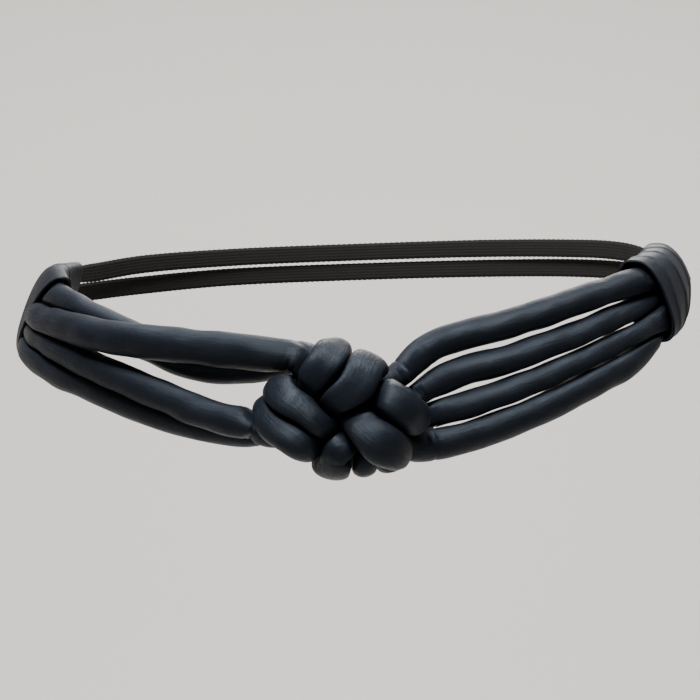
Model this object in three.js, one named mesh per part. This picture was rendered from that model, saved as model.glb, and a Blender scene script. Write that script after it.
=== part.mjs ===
// Obi belt of four stuffed satin cords. The cords run round the front of the hips, cross in one
// large woven crown knot, and are gathered at each hip by a pleated satin wrap. Two elastic straps
// close the loop behind. It keeps the shape that it has when it is worn.
// Millimetres, +Z up. The origin is the middle of the loop, at the height of the hips. The wearer's
// front is -Y and the wearer's left is +X.
import * as THREE from "three";

// ---------------------------------------------------------------- driving sizes
// The hips are an ellipse that widens downwards. Everything is placed on it by three numbers: the
// angle round it from the front (positive to +X), the height, and how far out from it.
const HIPS = { halfWidth: 133, halfDepth: 96, sideFlare: 0.34, frontFlare: 0.15 };

// The crown knot's centre: its place, how far out it is, and the lean of its long strands from level.
const KNOT = { x: -3.3, z: -43.8, out: 15, lean: 54 };

const CORD_SIDES = 12; // corners of a cord's section
const CORD_GAP = 0.6; // between two cords that press on each other
const KNOT_REACH = 52; // the knot settles within this distance of its centre
const CROWD = 2.4; // a cord presses on others that are closer than this many half widths
const PUSH_LIMIT = 0.22; // the most that a wide cord's share of the room is over a half
const BEND_LIMIT = 0.85; // the share of its bend's radius that a cord may fill
const BEND_SPAN = 2; // points each way that a bend is measured over
const RUN_STEP = 7.5; // ring spacing along a cord, outside the knot and in it
const KNOT_STEP = 3;
const KNOT_STEP_REACH = 42; // and how far from the centre the closer rings go
const FINE_STEP = 1; // spacing of the points where a cord's reach is found
const SITE_STEP = 1.5; // and of the points that it keeps clear of
const SOFTEN = 2; // fine points each way that the reach is softened over
const SKIN_GAP = 0.3; // between a cord and the hips
const SHRINK = { by: 0.96, least: 1 }; // how a reach is drawn in from the hips and the wraps

// A cord's section in the knot. Its squareness is 2 for a round cord, and most where it is this
// much wider than its radius. It is this much thinner for each millimetre that it is wider.
const PRESS = { round: 2, square: 2.9, squareAt: 2.5, thin: 0.2 };

// It is widest across its run over the knot, which is taken over this distance each way, and
// counts from this far out on, where it lies over the other cords.
const RUN = { span: 10, from: 14, to: 22, least: 0.01 };

// Settling: the centre lines are pushed apart until they are this far from each other, or less far
// where their half widths come to less than this share of it.
const SETTLE = {
  step: 3, rounds: 160, apart: 9.6, share: 0.82, push: 0.45, smooth: 0.16, hold: 0.1, ownSpan: 17,
};

// Each cord's route. Rows on the hips are [angle, height, out]. Rows in the knot are
// [along the long strands, across them, out, half width], from the knot's centre.
const CORDS = [
  {
    name: "cord_upper_inner",
    radius: 6.8,
    left: [
      [-88, 6, 6], [-80, 3.5, 6.5], [-70, 1.5, 7.5], [-58, -3.5, 7], [-47, -10, 6.5],
      [-36, -17.5, 6.5], [-26, -25.2, 6.5], [-17, -26.5, 6.5], [-11.5, -24, 7],
    ],
    knot: [
      [7, -27, 9, 6.8], [8.5, -18, 12, 5.5], [9.5, -8, 14.5, 5.5], [11.5, -1, 18.5, 6],
      [13.8, 5, 25.5, 7.5], [14.2, 11, 29, 7.8], [14.2, 17, 27.5, 7.8], [13.5, 20, 20, 7.6],
      [11, 16.5, 10, 5], [6, 8, 8, 4], [1, -3, 9, 4], [-3, -13, 9, 4.5], [-7, -22, 10, 6.5],
      [-9, -25, 18, 7.8], [-8.5, -22.5, 26, 7.8], [-8.5, -15, 29, 7.2], [-9, -8, 28, 7],
      [-9, -3.5, 24, 6.5], [-8.8, 0.5, 18.5, 5], [-7, 5, 13, 4], [-2, 9.5, 9, 4], [4, 14.5, 6, 4],
      [6.5, 20, 5, 5], [10, 24.5, 4.5, 6], [18, 26.5, 6, 6.8],
    ],
    right: [
      [15.3, -42.4, 6.5], [22.6, -37, 6.5], [30.9, -30.3, 6.5], [38, -24.5, 6.5],
      [47.5, -17.7, 7], [57, -11, 9.5], [66, -4.5, 12.5], [76, 1.5, 13], [86, 6, 12.5],
    ],
  },
  {
    name: "cord_upper_outer",
    radius: 7,
    left: [
      [-88, 1, 8.5], [-80, -3, 9.5], [-70, -7, 10.5], [-60, -9.8, 12.5], [-50, -12, 15],
      [-41, -14.8, 17.5], [-33, -16.3, 18], [-25, -18.2, 17], [-17, -19.8, 17], [-11, -21.8, 18],
    ],
    knot: [
      [6, -27.5, 17, 7], [1.5, -18, 16, 5.5], [-0.5, -9, 13.5, 4.5], [-1.3, -4.6, 14.5, 4.5],
      [-1.5, -0.5, 19.5, 5.5], [-1.5, 3.5, 25.5, 7], [-1.3, 8, 29, 8.2], [-1, 13, 30.5, 8.6],
      [-1, 17.5, 28, 8.6], [-0.5, 20, 20, 8], [-1, 17, 10.5, 5.5], [-4, 8, 8, 4], [-9, -4, 9, 4],
      [-13, -12, 10, 4.5], [-15.5, -19, 11, 6.5], [-17, -21.5, 18, 8.8], [-17.5, -19.5, 25, 8.8],
      [-18, -13, 28, 8], [-17, -6, 27, 7.5], [-15, -1, 22, 6], [-11, 4, 15, 4.5], [-5, 11, 14.5, 4.5],
      [-1, 17, 13, 5], [3, 24, 10, 6], [7.5, 31, 7, 7],
    ],
    right: [
      [14.8, -53.8, 6.5], [21.8, -48.3, 6.5], [29.8, -41.3, 6.5], [39.5, -32.5, 6.5],
      [49, -24.8, 7], [57, -15.5, 7.5], [66, -9, 7.5], [76, -1.5, 7.5], [86, 4, 7.5],
    ],
  },
  {
    name: "cord_lower_outer",
    radius: 6.2,
    left: [
      [-88, -6.5, 6], [-80, -11.5, 6.5], [-70, -15.8, 8.5], [-58, -19.3, 10.5], [-46, -25.7, 12],
      [-36, -32.3, 13], [-28, -38.5, 14], [-21, -44.2, 16], [-15, -47.6, 17],
    ],
    knot: [
      [-21, -23, 13.5, 6], [-16, -18, 14, 5], [-10, -16.5, 17, 5], [-4, -17.5, 20.5, 6],
      [2, -17.8, 26, 7.4], [8, -17.9, 29, 8], [12.5, -17.6, 27, 8.6], [14.5, -17.4, 19, 8.2],
      [11.5, -15.5, 10, 5], [4, -10, 6, 4], [-5, -4, 6, 4], [-11, 1, 8, 5],
      [-14.5, 2.5, 16, 7.6], [-14.5, 2.7, 24, 8], [-12, 2.8, 27.5, 8], [-9, 3, 26.5, 7],
      [-5, 3.3, 20.5, 5.5], [-1.3, 3.8, 15, 4.5], [4, 4.3, 14, 4.5], [9, 4.8, 14, 5], [16, 6.5, 11.5, 5.8],
      [22, 8.6, 8.5, 6.2],
    ],
    right: [
      [10.5, -20, 7.5], [16.7, -14.2, 6.8], [24.7, -10, 6.5], [33.8, -4.3, 6.5],
      [45.3, 1.9, 7], [57, 7.5, 10], [66, 10.3, 12.5], [76, 12.8, 13], [86, 15.5, 12.5],
    ],
  },
  {
    name: "cord_lower_inner",
    radius: 6.6,
    left: [
      [-88, -12, 7], [-80, -18, 7.5], [-68, -24, 8], [-56, -30.2, 7], [-44, -36.4, 6.5],
      [-35, -42.4, 6.5], [-28, -46.8, 6.5], [-21, -50, 6.5], [-16, -51.7, 6.5],
    ],
    knot: [
      [-25, -24, 7, 6.6], [-19.5, -15, 8.5, 5], [-15, -7, 12, 4.5], [-9, -4.3, 14.5, 4.5],
      [-5, -4.4, 19.5, 5.5], [-1.3, -4.6, 25, 7], [4, -4.4, 29, 8], [9.5, -3.8, 31, 8.4],
      [14.5, -3.8, 29, 8.9], [17.4, -3.8, 19, 8.6], [14, -2, 9, 5], [6, 3, 6, 4], [-2, 9, 6.5, 4],
      [-7, 13, 9, 5], [-10.3, 15, 16, 6.5], [-10.1, 15.3, 21, 6.6], [-5, 16, 21, 5.5], [0, 15.8, 19, 4.5],
      [5, 15, 16, 4.5], [11, 15, 13.5, 5], [17.5, 16.5, 9, 6], [23.5, 18.5, 7, 6.6],
    ],
    right: [
      [15.9, -28.4, 6.5], [23.5, -24.2, 6.5], [29.8, -19.8, 6.5], [37.1, -15.2, 6.5],
      [48, -8, 6.8], [58, -3, 7.5], [66, 2.5, 7.5], [76, 8.5, 7.5], [86, 13, 7.5],
    ],
  },
];

// Each wrap, as rows of [angle, height, out, half height, half depth, lean] of its outer section.
// The lean is how many degrees its top is ahead of its middle.
const WRAP_WALL = 2;
const WRAP_SIDES = 28;
const WRAP_SQUARE = 2.6; // the section's squareness: 2 is an ellipse
const WRAP_ROOM = 0.8; // between the wrap and its cords
const MOUTH_MARGIN = 5; // degrees past a wrap's mouth where its cords are still pinched
const PLEATS = { count: 5, step: 0.9, rings: 3, tuck: 0.04, fall: 0.7 };
const WRAPS = [
  {
    name: "wrap_left",
    rows: [
      [-75, -8, 7, 18, 7.6, 6], [-81, -6.5, 7.2, 18.8, 7.6, 5], [-87, -4, 7, 18, 7.4, 3.5],
      [-94, 1, 7, 15, 6.8, 2], [-101, 6, 7, 11.8, 5.8, 0],
    ],
  },
  {
    name: "wrap_right",
    rows: [
      [58.5, -0.5, 10.2, 17.4, 9.8, -1], [67, 3, 10.8, 16.9, 10.2, -1], [76, 7, 11, 15.9, 10.2, -1],
      [85, 10.6, 11.4, 14.7, 9.2, 0], [93.5, 13.3, 12.8, 12.8, 6.8, 0],
    ],
  },
];

// The elastic straps: rows of [angle, height, out] of each centre line.
const STRAP = { height: 8.8, thickness: 1.6, step: 11 };
const STRAP_END = { share: 0.72, from: 8, to: 34 }; // it is drawn narrow in the wraps
// Its corners are taken off from these shares of half its height and half its thickness on.
const STRAP_EDGE = { high: 0.96, thick: 0.35 };
const STRAPS = [
  {
    name: "elastic_upper",
    rows: [
      [-93, 6.5, 7], [-101, 11, 7], [-112, 13.5, 5], [-126, 17.5, 2.5], [-150, 21.5, 1.2],
      [-180, 24.5, 1.2], [-210, 26, 1.2], [-234, 25.3, 2.6], [-248, 23.8, 7], [-260, 20, 12.2],
      [-268, 16, 13],
    ],
  },
  {
    name: "elastic_lower",
    rows: [
      [-93, -1.5, 7], [-101, 2.2, 7], [-112, 4.2, 5], [-126, 7, 2.5], [-150, 11.5, 1.2],
      [-180, 14.5, 1.2], [-210, 16, 1.2], [-234, 15.7, 2.6], [-248, 14.2, 7], [-260, 11, 12.2],
      [-268, 8, 13],
    ],
  },
];

const SATIN = { color: 0x10131c, roughness: 0.42, metalness: 0 };
const ELASTIC = { color: 0x14110f, roughness: 0.85, metalness: 0 };

// ---------------------------------------------------------------- placing on the hips
const radians = THREE.MathUtils.degToRad;

function hipPoint(angle, height, out) {
  const across = HIPS.halfWidth - HIPS.sideFlare * height + out;
  const deep = HIPS.halfDepth - HIPS.frontFlare * height + out;
  return new THREE.Vector3(across * Math.sin(angle), -deep * Math.cos(angle), height);
}

// How far out from the hips a point is.
function outOf(point) {
  const across = HIPS.halfWidth - HIPS.sideFlare * point.z;
  const deep = HIPS.halfDepth - HIPS.frontFlare * point.z;
  let out = 0;
  for (let i = 0; i < 6; i++) {
    const share = Math.hypot(point.x / (across + out), point.y / (deep + out));
    out += (share - 1) * Math.hypot(point.x, point.y);
  }
  return out;
}

function knotPoint(along, across, out) {
  const lean = radians(KNOT.lean);
  const x = KNOT.x + along * Math.cos(lean) + across * Math.sin(lean);
  const height = KNOT.z + along * Math.sin(lean) - across * Math.cos(lean);
  return hipPoint(Math.asin(x / (HIPS.halfWidth - HIPS.sideFlare * height + out)), height, out);
}

const KNOT_CENTRE = knotPoint(0, 0, KNOT.out);
const KNOT_ALONG = knotPoint(1, 0, KNOT.out).sub(knotPoint(-1, 0, KNOT.out)).normalize();
const KNOT_ACROSS = knotPoint(0, 1, KNOT.out).sub(knotPoint(0, -1, KNOT.out)).normalize();

// ---------------------------------------------------------------- the cords' centre lines
// The same line with points a step apart.
function evenly(points, step) {
  const curve = new THREE.CatmullRomCurve3(points, false, "centripetal");
  curve.arcLengthDivisions = points.length * 24;
  return curve.getSpacedPoints(Math.max(2, Math.round(curve.getLength() / step)));
}

function routeOf(cord) {
  const onHips = (rows) => rows.map(([angle, ...rest]) => hipPoint(radians(angle), ...rest));
  const inKnot = cord.knot.map(([along, across, out]) => knotPoint(along, across, out));
  return evenly([...onHips(cord.left), ...inKnot, ...onHips(cord.right)], SETTLE.step);
}

// The half width at each point of a cord's route.
function widthsOf(cord, route) {
  const near = cord.knot.map(([along, across, out]) => {
    const place = knotPoint(along, across, out);
    const away = route.map((point) => point.distanceTo(place));
    return away.indexOf(Math.min(...away));
  });
  const widths = cord.knot.map((row) => row[3]);
  return route.map((_, i) => {
    const inKnot = i > near[0] && i < near[near.length - 1];
    return inKnot ? between(near, widths, i) : cord.radius;
  });
}

// The value at a place, between the values at rising places.
function between(places, values, place) {
  const after = places.findIndex((each) => each >= place);
  if (after < 1) return after ? values[values.length - 1] : values[0];
  const share = (place - places[after - 1]) / (places[after] - places[after - 1]);
  return THREE.MathUtils.lerp(values[after - 1], values[after], share);
}

// How far along a line each of its points is.
function distances(line) {
  let sum = 0;
  return line.map((point, i) => {
    sum += i ? point.distanceTo(line[i - 1]) : 0;
    return sum;
  });
}

// Pushes the lines apart where they crowd each other, as soft cords in a pulled knot do.
function settle(lines, widths) {
  const spots = lines.flatMap((line, cord) =>
    line.map((point, index) => {
      return { point, start: point.clone(), cord, index, half: widths[cord][index] };
    }),
  );
  const moving = spots.filter((s) => s.start.distanceTo(KNOT_CENTRE) < KNOT_REACH);
  const skip = Math.round(SETTLE.ownSpan / SETTLE.step);
  for (let round = 0; round < SETTLE.rounds; round++) {
    for (const s of moving) {
      const line = lines[s.cord];
      const middle = line[s.index - 1].clone().add(line[s.index + 1]).multiplyScalar(0.5);
      s.point.lerp(middle, SETTLE.smooth).lerp(s.start, SETTLE.hold);
    }
    moving.forEach((s, i) => {
      for (const other of moving.slice(i + 1)) {
        if (other.cord === s.cord && other.index - s.index < skip) continue;
        const least = Math.min(SETTLE.share * (s.half + other.half), SETTLE.apart);
        const apart = s.point.distanceTo(other.point);
        if (apart >= least) continue;
        const shift = s.point.clone().sub(other.point);
        shift.setLength(((least - apart) * SETTLE.push) / 2);
        s.point.add(shift);
        other.point.sub(shift);
      }
    });
    for (const s of moving) {
      const low = s.half * SETTLE.share - outOf(s.point);
      if (low > 0) s.point.y -= low;
    }
  }
}

// ---------------------------------------------------------------- solids
// A closed solid through rings of points, with its ends closed by flat fans.
function ringSolid(rings) {
  const sides = rings[0].length;
  const centre = (ring) => ring.reduce((sum, p) => sum.add(p), new THREE.Vector3()).divideScalar(sides);
  const points = [...rings.flat(), centre(rings[0]), centre(rings[rings.length - 1])];
  const faces = [];
  for (let side = 0; side < sides; side++) {
    const next = (side + 1) % sides;
    for (let ring = 0; ring + 1 < rings.length; ring++) {
      const [a, b] = [ring * sides + side, ring * sides + next];
      faces.push(a, b, b + sides, a, b + sides, a + sides);
    }
    const lastRing = (rings.length - 1) * sides;
    faces.push(points.length - 2, next, side);
    faces.push(points.length - 1, lastRing + side, lastRing + next);
  }
  return geometryOf(points, faces);
}

// A closed wall: its rings go out over the outside and back through the inside.
function wallSolid(rings) {
  const sides = rings[0].length;
  const faces = [];
  for (let ring = 0; ring < rings.length; ring++) {
    const after = (ring + 1) % rings.length;
    for (let side = 0; side < sides; side++) {
      const next = (side + 1) % sides;
      const [a, b] = [ring * sides + side, ring * sides + next];
      const [c, d] = [after * sides + next, after * sides + side];
      faces.push(a, b, c, a, c, d);
    }
  }
  return geometryOf(rings.flat(), faces);
}

function geometryOf(points, faces) {
  const geometry = new THREE.BufferGeometry().setFromPoints(points);
  geometry.setIndex(faces);
  if (signedVolume(points, faces) < 0) {
    geometry.setIndex(faces.slice().reverse());
  }
  geometry.computeVertexNormals();
  return geometry;
}

function signedVolume(points, faces) {
  let sum = 0;
  for (let i = 0; i < faces.length; i += 3) {
    const [a, b, c] = [points[faces[i]], points[faces[i + 1]], points[faces[i + 2]]];
    sum += a.dot(b.clone().cross(c));
  }
  return sum / 6;
}

// The wrap's section at an angle, between its rows.
function wrapSection(wrap, angle) {
  const rows = wrap.rows;
  const way = Math.sign(rows[rows.length - 1][0] - rows[0][0]);
  let i = 0;
  while (i + 2 < rows.length && way * angle > way * rows[i + 1][0]) i++;
  const share = (angle - rows[i][0]) / (rows[i + 1][0] - rows[i][0]);
  return rows[i].map((value, column) => value + share * (rows[i + 1][column] - value));
}

// True where a point is in a wrap's angles but not within its cavity.
function hitsWrap(point) {
  const angle = (Math.atan2(point.x / HIPS.halfWidth, -point.y / HIPS.halfDepth) * 180) / Math.PI;
  return WRAPS.some((wrap) => {
    const [start, end] = [wrap.rows[0][0], wrap.rows[wrap.rows.length - 1][0]];
    const near = wrapSection(wrap, angle);
    const upright = angle - near[5] * THREE.MathUtils.clamp((point.z - near[1]) / near[3], -1, 1);
    if (upright < Math.min(start, end) - MOUTH_MARGIN) return false;
    if (upright > Math.max(start, end) + MOUTH_MARGIN) return false;
    const [, height, out, halfHeight, halfDepth] = wrapSection(wrap, upright);
    const up = Math.abs(point.z - height) / (halfHeight - WRAP_WALL - WRAP_ROOM);
    const away = Math.abs(outOf(point) - out) / (halfDepth - WRAP_WALL - WRAP_ROOM);
    return up ** WRAP_SQUARE + away ** WRAP_SQUARE > 1;
  });
}

// A cord's line as spots a step apart, with what its section needs at each.
function trace(cord, index, line, widths, step) {
  const points = evenly(line, step);
  const along = distances(points);
  const lineAlong = distances(line);
  const last = points.length - 1;
  const spots = points.map((point, i) => {
    const ahead = points[Math.min(i + BEND_SPAN, last)];
    const behind = points[Math.max(i - BEND_SPAN, 0)];
    const tangent = ahead.clone().sub(behind).normalize();
    const bend = ahead.clone().add(behind).sub(point.clone().multiplyScalar(2));
    bend.divideScalar((ahead.distanceTo(behind) / 2) ** 2);
    const width = between(lineAlong, widths, along[i]);
    return { cord: index, point, tangent, bend, at: along[i], width, radius: cord.radius };
  });
  const runs = spots.map(({ point, tangent }) => {
    const [up, side] = [tangent.dot(KNOT_ALONG), tangent.dot(KNOT_ACROSS)];
    const over = RUN.least + THREE.MathUtils.smoothstep(outOf(point), RUN.from, RUN.to);
    return [over * (up ** 2 - side ** 2), over * 2 * up * side];
  });
  const span = Math.round(RUN.span / step);
  spots.forEach((spot, i) => {
    const near = runs.slice(Math.max(i - span, 0), i + span + 1);
    const [more, both] = [0, 1].map((k) => near.reduce((sum, run) => sum + run[k], 0));
    const run = Math.atan2(both, more) / 2;
    const axis = KNOT_ACROSS.clone().multiplyScalar(Math.cos(run));
    axis.addScaledVector(KNOT_ALONG, -Math.sin(run));
    spot.axis = axis.addScaledVector(spot.tangent, -axis.dot(spot.tangent)).normalize();
  });
  return spots;
}

// How far a free cord's section reaches one way: a circle, or a box with round ends.
function extent(spot, way) {
  const wider = spot.width - spot.radius;
  const squareness = THREE.MathUtils.clamp(wider / PRESS.squareAt, 0, 1);
  const power = THREE.MathUtils.lerp(PRESS.round, PRESS.square, squareness);
  const thick = Math.min(spot.radius - PRESS.thin * wider, spot.width);
  const wide = Math.abs(way.dot(spot.axis));
  const high = Math.sqrt(Math.max(1 - wide ** 2, 0));
  return ((wide / spot.width) ** power + (high / thick) ** power) ** (-1 / power);
}

// The faces where other cords press on a spot. Each cord keeps to its own share of the room.
function facesOn(spot, sites) {
  const crowd = sites.filter(
    (site) =>
      site.point.distanceTo(spot.point) < CROWD * spot.width &&
      (site.cord !== spot.cord || Math.abs(site.at - spot.at) > SETTLE.ownSpan),
  );
  return crowd.map((site) => {
    const way = site.point.clone().sub(spot.point);
    const apart = way.length();
    way.divideScalar(apart);
    const [mine, other] = [extent(spot, way), extent(site, way)];
    const share = THREE.MathUtils.clamp(mine / (mine + other), 0.5 - PUSH_LIMIT, 0.5 + PUSH_LIMIT);
    return { way, away: share * apart - CORD_GAP / 2 };
  });
}

// How far a cord reaches round each of its fine spots.
function cordReach(fine, sites) {
  const side = new THREE.Vector3(0, 0, 1);
  return fine.map((spot) => {
    side.addScaledVector(spot.tangent, -side.dot(spot.tangent)).normalize();
    const up = spot.tangent.clone().cross(side);
    const faces = facesOn(spot, sites);
    return Array.from({ length: CORD_SIDES }, (_, k) => {
      const turn = (2 * Math.PI * k) / CORD_SIDES;
      const way = side.clone().multiplyScalar(Math.cos(turn)).addScaledVector(up, Math.sin(turn));
      let reach = extent(spot, way);
      for (const face of faces) {
        const toward = face.way.dot(way);
        if (toward > 0) reach = Math.min(reach, face.away / toward);
      }
      const inward = spot.bend.dot(way);
      if (inward > 0) reach = Math.min(reach, BEND_LIMIT / inward);
      let point = spot.point.clone().addScaledVector(way, reach);
      while (reach > SHRINK.least && (outOf(point) < SKIN_GAP || hitsWrap(point))) {
        reach *= SHRINK.by;
        point = spot.point.clone().addScaledVector(way, reach);
      }
      return { way, reach };
    });
  });
}

function cordRings(fine, sites) {
  const field = cordReach(fine, sites);
  const last = fine.length - 1;
  const around = (i, pick) => {
    const window = [];
    for (let j = i - SOFTEN; j <= i + SOFTEN; j++) window.push(pick(Math.min(Math.max(j, 0), last)));
    return window;
  };
  // The least reach near each point, then the mean of those: smooth, and never over the reach.
  const least = field.map((_, i) =>
    field[i].map((_, k) => Math.min(...around(i, (j) => field[j][k].reach))),
  );
  const soft = (i, k) => around(i, (j) => least[j][k]).reduce((a, b) => a + b) / (2 * SOFTEN + 1);
  const kept = [0];
  for (let i = 1; i < last; i++) {
    const near = fine[i].point.distanceTo(KNOT_CENTRE) < KNOT_STEP_REACH;
    const gone = (i - kept[kept.length - 1]) * FINE_STEP;
    if (gone >= (near ? KNOT_STEP : RUN_STEP)) kept.push(i);
  }
  kept.push(last);
  return kept.map((i) =>
    field[i].map(({ way }, k) => fine[i].point.clone().addScaledVector(way, soft(i, k))),
  );
}

// A point of a wrap's section: a box with round ends, as tall as its cords are stacked.
function sectionPoint([angle, height, out, halfHeight, halfDepth, lean], side, inset) {
  const turn = (2 * Math.PI * side) / WRAP_SIDES;
  const squared = (value) => Math.sign(value) * Math.abs(value) ** (2 / WRAP_SQUARE);
  const up = squared(Math.cos(turn));
  const away = squared(Math.sin(turn));
  const leant = radians(angle + lean * up);
  return hipPoint(leant, height + (halfHeight - inset) * up, out + (halfDepth - inset) * away);
}

// A wrap: pleats lie over each other like shingles, each edge standing a little proud.
function wrapRings(wrap) {
  const first = wrap.rows[0][0];
  const last = wrap.rows[wrap.rows.length - 1][0];
  const outer = [];
  const inner = [];
  for (let pleat = 0; pleat < PLEATS.count; pleat++) {
    for (let i = 0; i < PLEATS.rings; i++) {
      const within = i / (PLEATS.rings - 1);
      const share = (pleat + THREE.MathUtils.lerp(PLEATS.tuck, 1 - PLEATS.tuck, within)) / PLEATS.count;
      const section = wrapSection(wrap, first + share * (last - first));
      const proud = PLEATS.step * (1 - within) ** PLEATS.fall;
      outer.push(Array.from({ length: WRAP_SIDES }, (_, side) => sectionPoint(section, side, -proud)));
    }
  }
  for (let i = 0; i < 2 * PLEATS.count; i++) {
    const share = 1 - i / (2 * PLEATS.count - 1);
    const section = wrapSection(wrap, first + share * (last - first));
    inner.push(Array.from({ length: WRAP_SIDES }, (_, side) => sectionPoint(section, side, WRAP_WALL)));
  }
  return [...outer, ...inner];
}

// A strap's section, anticlockwise: a thin band with its corners taken off.
const STRAP_CORNERS = [[-1, -1], [1, -1], [1, 1], [-1, 1]].flatMap(([high, thick]) => {
  const edge = [high, thick * STRAP_EDGE.thick];
  const face = [high * STRAP_EDGE.high, thick];
  return high === thick ? [edge, face] : [face, edge];
});

function strapRings(strap) {
  const points = strap.rows.map(([angle, height, out]) => hipPoint(radians(angle), height, out));
  const line = evenly(points, STRAP.step);
  return line.map((centre, i) => {
    const ahead = line[Math.min(i + 1, line.length - 1)];
    const behind = line[Math.max(i - 1, 0)];
    const tangent = ahead.clone().sub(behind).normalize();
    const away = new THREE.Vector3(centre.x / HIPS.halfWidth ** 2, centre.y / HIPS.halfDepth ** 2, 0);
    away.sub(tangent.clone().multiplyScalar(away.dot(tangent))).normalize();
    const up = tangent.clone().cross(away);
    if (up.z < 0) up.negate();
    const fromEnd = Math.min(i, line.length - 1 - i) * STRAP.step;
    const open = THREE.MathUtils.smoothstep(fromEnd, STRAP_END.from, STRAP_END.to);
    const height = STRAP.height * THREE.MathUtils.lerp(STRAP_END.share, 1, open);
    return STRAP_CORNERS.map(([high, thick]) =>
      centre
        .clone()
        .addScaledVector(up, (high * height) / 2)
        .addScaledVector(away, (thick * STRAP.thickness) / 2),
    );
  });
}

// ---------------------------------------------------------------- the belt
const belt = new THREE.Group();

function addPiece(name, geometry, finish) {
  const piece = new THREE.Mesh(geometry, new THREE.MeshStandardMaterial(finish));
  piece.name = name;
  belt.add(piece);
}

const lines = CORDS.map(routeOf);
const widths = CORDS.map((cord, index) => widthsOf(cord, lines[index]));
settle(lines, widths);
const traceOf = (index, step) => trace(CORDS[index], index, lines[index], widths[index], step);
const sites = CORDS.flatMap((_, index) => traceOf(index, SITE_STEP));
CORDS.forEach((cord, index) => {
  addPiece(cord.name, ringSolid(cordRings(traceOf(index, FINE_STEP), sites)), SATIN);
});
for (const wrap of WRAPS) addPiece(wrap.name, wallSolid(wrapRings(wrap)), SATIN);
for (const strap of STRAPS) addPiece(strap.name, ringSolid(strapRings(strap)), ELASTIC);

export default belt;
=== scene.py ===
import math

import bpy
import numpy as np
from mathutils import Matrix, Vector


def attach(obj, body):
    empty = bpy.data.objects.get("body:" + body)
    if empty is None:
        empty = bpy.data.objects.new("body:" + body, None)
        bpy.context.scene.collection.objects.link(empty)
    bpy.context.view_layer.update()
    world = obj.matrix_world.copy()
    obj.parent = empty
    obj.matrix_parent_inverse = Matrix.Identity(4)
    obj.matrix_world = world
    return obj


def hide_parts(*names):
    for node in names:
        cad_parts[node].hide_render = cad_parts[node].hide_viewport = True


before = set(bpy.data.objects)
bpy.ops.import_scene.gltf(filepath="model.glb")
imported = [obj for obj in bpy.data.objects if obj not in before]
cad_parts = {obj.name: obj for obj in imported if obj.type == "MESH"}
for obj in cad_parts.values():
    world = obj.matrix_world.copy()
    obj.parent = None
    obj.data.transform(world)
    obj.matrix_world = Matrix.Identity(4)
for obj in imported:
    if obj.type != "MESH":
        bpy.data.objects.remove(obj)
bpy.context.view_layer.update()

MM = 0.001
TINY = 1e-6  # keeps a division from a divisor of nothing

# ---------------------------------------------------------------- driving sizes
# The hips are an ellipse that widens downwards. Everything is placed on it by three numbers: the
# angle round it from the front (positive to +X), the height, and how far out from it.
HALF_WIDTH, SIDE_FLARE = 133, 0.34
HALF_DEPTH, FRONT_FLARE = 96, 0.15

# The crown knot's centre, how far out it lies, and the lean of its long strands from level.
KNOT_X, KNOT_Z, KNOT_OUT, KNOT_LEAN = -3.3, -43.8, 15, math.radians(54)
KNOT_REACH = 52  # the knot settles within this distance of its centre

# How cords are pressed against each other.
THIN = 0.2  # how much thinner a cord is for each millimetre that it is pressed wider
SQUARE = (2.0, 2.9)  # the squareness of a round cord's section, and of one pressed wide
SQUARE_AT = 2.5  # how much wider it is then
AXIS_SPAN = 10  # distance each way that a cord's run across the knot is measured over
OVER, LEAST_OVER = (14, 22), 0.01  # where it counts: how far out it lies over the others
CORD_GAP = 0.5  # between two cords that press on each other
CROWD = 2.4  # a cord presses on others that are closer than this many radii
PUSH_LIMIT = 0.22  # the most that a wide cord's share of the room is over a half
BEND_LIMIT = 0.85  # the share of its bend's radius that a cord may fill
ROUNDING = 9  # how hard the edges of a pressed face are
SKIN_GAP = 0.3  # between a cord and the hips
SHRINK_BY, SHRINK_LEAST, SHRINK_ROUNDS = 0.97, 1, 80  # to clear the hips and the wraps

# How finely the cords are drawn.
CORD_SIDES = 64
CORD_STEP = 0.7  # ring spacing along a cord
SITE_STEP = 1.5  # spacing of the points that it keeps clear of
BEND_SPAN = 2.1  # distance each way that a bend is measured over
SOFTEN = 1.4  # distance each way that its reach is softened over

# Settling: the centre lines are pushed apart until they are this far from each other.
SETTLE_STEP = 3
SETTLE_ROUNDS = 160
SETTLE_APART = 9.6
SETTLE_SHARE = 0.82  # or closer, if their half widths there come to less than this share
SETTLE_PUSH = 0.45  # the share of what they lack that they are pushed in a round
SETTLE_SMOOTH, SETTLE_HOLD = 0.16, 0.1  # and the pull to a smooth line, and to where it was
OWN_SPAN = 17  # a cord doesn't press on its own next stretch

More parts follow.
